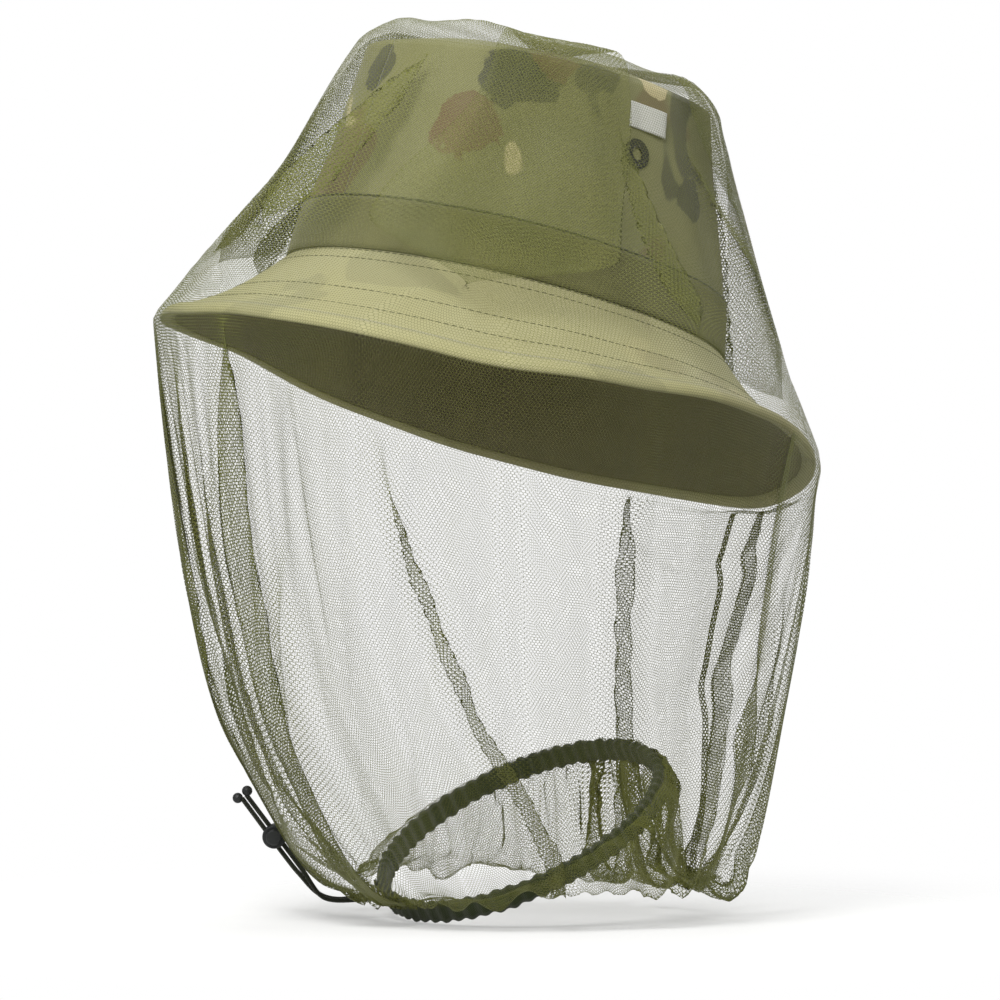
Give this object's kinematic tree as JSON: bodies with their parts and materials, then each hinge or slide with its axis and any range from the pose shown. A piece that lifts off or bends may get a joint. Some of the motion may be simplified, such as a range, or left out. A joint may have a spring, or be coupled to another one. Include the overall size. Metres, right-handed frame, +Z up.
{
  "type": "beekeeping veil",
  "caption": "Brimmed cloth hat carrying a fine see-through head net that hangs from the brim and is drawn in at the neck by a cord with a spring lock.",
  "frame": {"origin": "centre of the hat's head opening, in the plane of the crown-to-brim seam", "axes": "+Z up, -Y the wearer's front, +X the wearer's left; the hat is worn tipped back 15 degrees"},
  "size_m": [0.262, 0.2903, 0.3824],
  "materials": {
    "net": "open hexagonal mesh, see-through, olive green",
    "hat_cloth": null,
    "brim_lining": "matt cotton twill",
    "interlining": "stiff non-woven",
    "hat_tape": "woven cotton tape",
    "net_tape": "woven tape",
    "eyelet_black": "black enamel, satin",
    "label": "white woven tape, blank",
    "cord": "braided elastic cord",
    "black_plastic": "moulded, lightly textured",
    "spring_steel": "drawn wire"
  },
  "bodies": {
    "hat": {"crown_top_panel": "hat_cloth", "crown_side_panel_left": "hat_cloth", "crown_side_panel_right": "hat_cloth", "crown_seam_tape": "hat_tape", "crown_band": "hat_tape", "sweatband": "hat_tape", "brim_upper_ply": "hat_cloth", "brim_interlining": "interlining", "brim_lower_ply": "brim_lining", "brim_edge_binding": "hat_tape", "vent_eyelets": "eyelet_black", "vent_washers": "eyelet_black", "blank_label": "label", "veil_top_net": "net"},
    "hem": {"veil_skirt_net": "net", "veil_back_seam_tape": "net_tape", "hem_casing": "net_tape", "hem_drawcord": "cord", "cord_exit_eyelets": "eyelet_black", "veil_neck_gather": "net"},
    "cord_tails": {"cord_tails": "cord", "cord_end_beads": "black_plastic"},
    "cord_lock": {"cord_lock_body": "black_plastic", "cord_lock_spring": "spring_steel"},
    "cord_lock_button": {"cord_lock_button": "black_plastic"}
  },
  "joints": [
    {"name": "veil_lift", "type": "slide", "parent": "hat", "child": "hem", "axis": [0, 0, 1], "range_m": [0, 0.12], "deforming": ["veil_skirt_net", "veil_back_seam_tape"]},
    {"name": "cord_tail_swing", "type": "hinge", "parent": "hem", "child": "cord_tails", "pos_m": [-0.0407, -0.03825, -0.2457], "axis": [0.7954, -0.5249, -0.3031], "range_deg": [0, 60]},
    {"name": "cord_lock_slide", "type": "slide", "parent": "cord_tails", "child": "cord_lock", "axis": [-0.4019, -0.4568, 0.7936], "range_m": [-0.009, 0.01]},
    {"name": "cord_lock_press", "type": "slide", "parent": "cord_lock", "child": "cord_lock_button", "axis": [-0.7507, 0.6606, 0], "range_m": [0, 0.0025], "stiffness_N_per_m": 12, "springref_m": -0.004, "deforming": ["cord_lock_spring"]}
  ]
}
